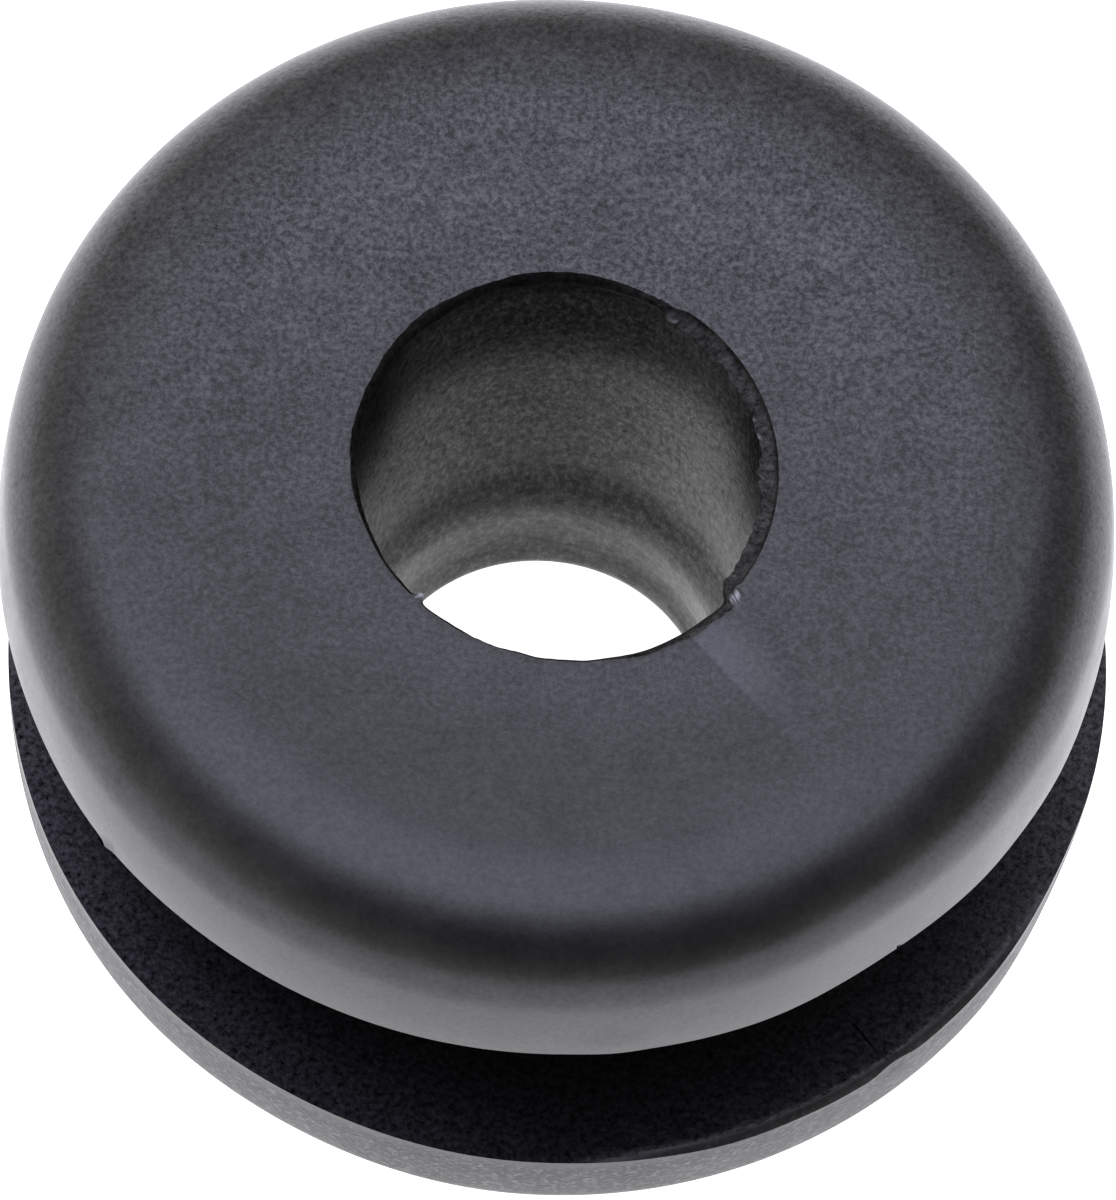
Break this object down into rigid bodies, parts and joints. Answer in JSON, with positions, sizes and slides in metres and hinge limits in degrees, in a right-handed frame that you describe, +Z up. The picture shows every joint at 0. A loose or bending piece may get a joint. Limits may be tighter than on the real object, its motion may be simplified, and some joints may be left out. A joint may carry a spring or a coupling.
{
  "type": "rubber grommet",
  "caption": "Round moulded rubber grommet with rounded flanges, a groove that grips a panel edge, and a cable bore narrowing to a soft throat.",
  "frame": {"origin": "centre of the lower flange's outer face, on the bore's axis", "axes": "+Z up along the bore's axis, from the lower flange to the upper flange"},
  "size_m": [0.016, 0.016, 0.009],
  "materials": {
    "rubber": "satin"
  },
  "bodies": {
    "root": {"grommet": "rubber"}
  },
  "joints": []
}
